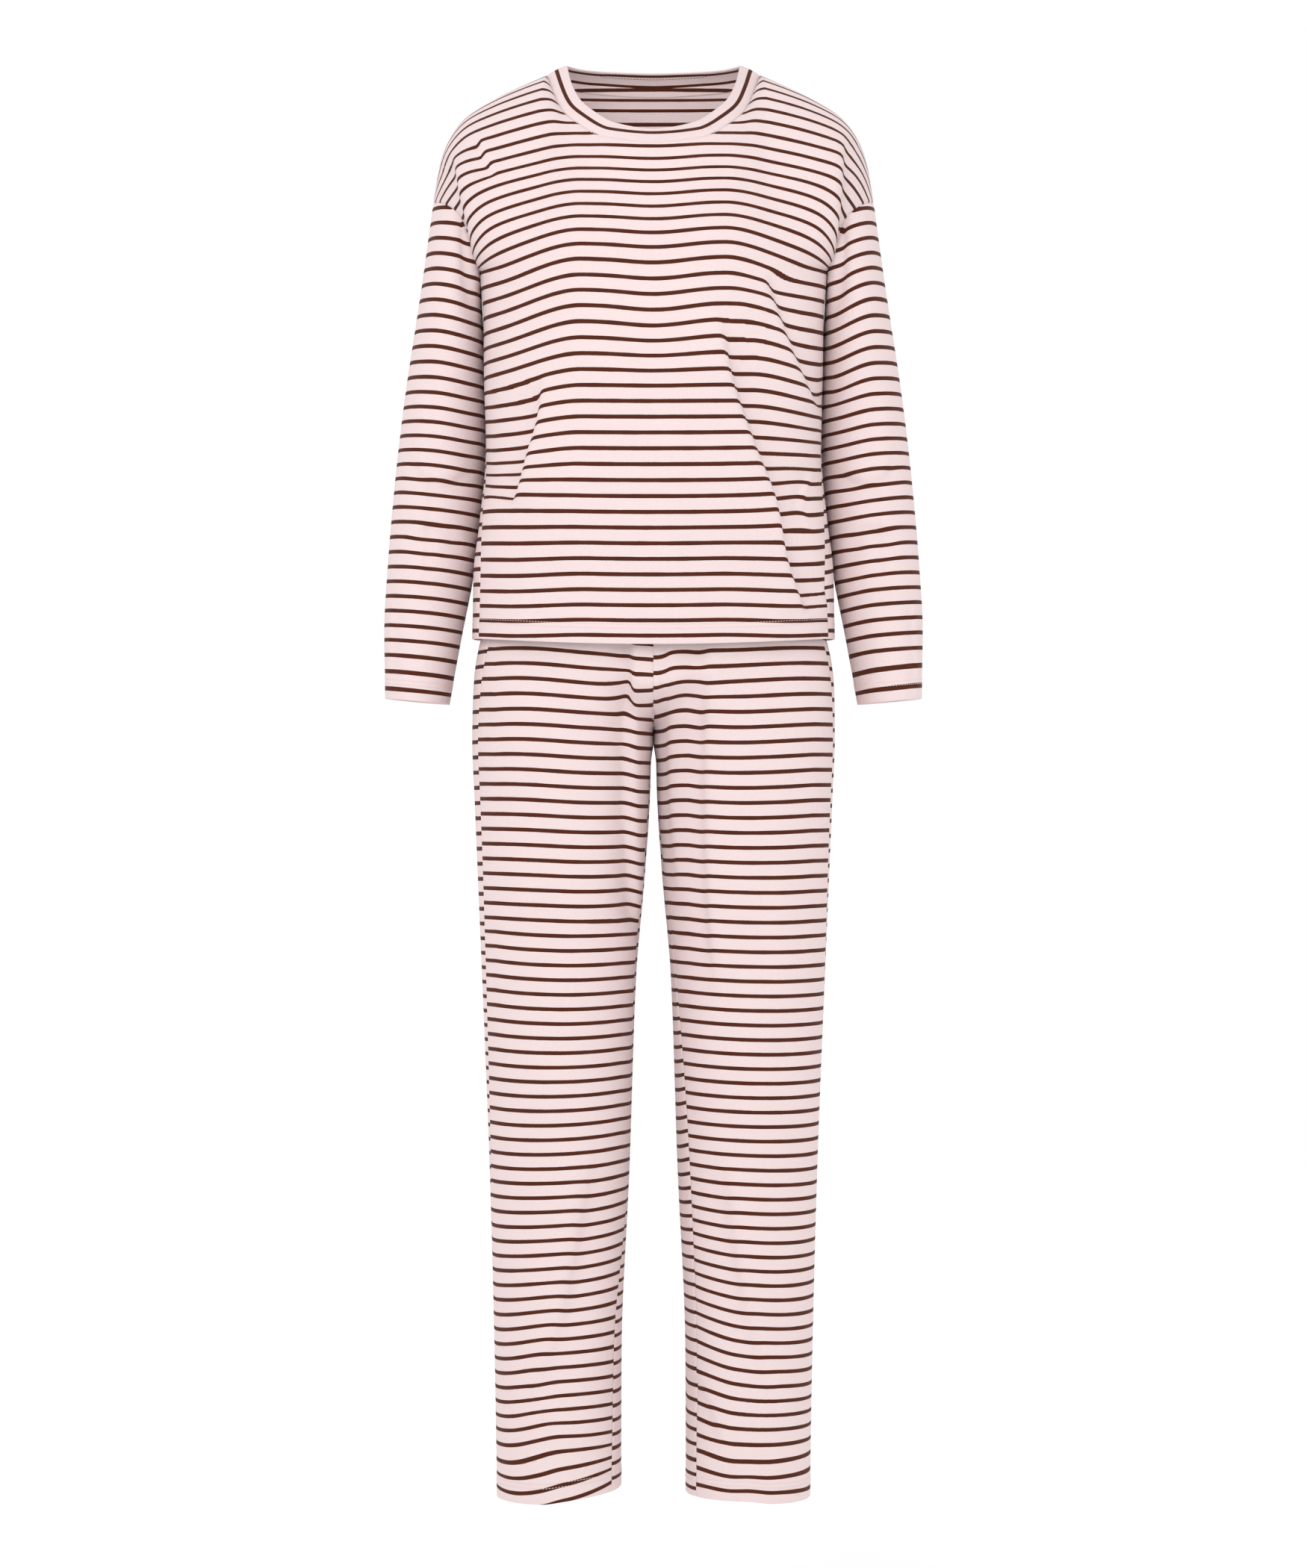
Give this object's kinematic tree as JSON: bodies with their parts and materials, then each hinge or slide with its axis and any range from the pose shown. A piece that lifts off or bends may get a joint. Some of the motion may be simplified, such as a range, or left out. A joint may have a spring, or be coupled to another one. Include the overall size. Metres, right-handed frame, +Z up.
{
  "type": "pyjama set",
  "caption": "Hollow pyjama set in striped jersey, shaped as worn: crew-neck long-sleeved top with dropped shoulders over straight trousers with an elastic waist.",
  "frame": {"origin": "between the shoulders, at the height where the neckband's seam crosses them, where the wearer's shoulders hold the top up", "axes": "+Z up along the body, +X towards the wearer's left, +Y towards the wearer's back; the front faces -Y"},
  "size_m": [0.542, 0.2474, 1.4333],
  "materials": {
    "jersey": "fine single jersey, pale pink with narrow brown stripes",
    "neckband": "doubled jersey band with one brown stripe",
    "elastic": "jersey over soft ribbed elastic",
    "tape": "narrow tape cut from the same striped jersey"
  },
  "bodies": {
    "root": {"top_front": "jersey", "top_back": "jersey", "sleeve_left": "jersey", "sleeve_right": "jersey", "neckband": "neckband", "neck_tape": "tape", "trouser_front_left": "jersey", "trouser_back_left": "jersey", "trouser_back_right": "jersey", "trouser_front_right": "jersey", "waistband": "elastic"}
  },
  "joints": []
}
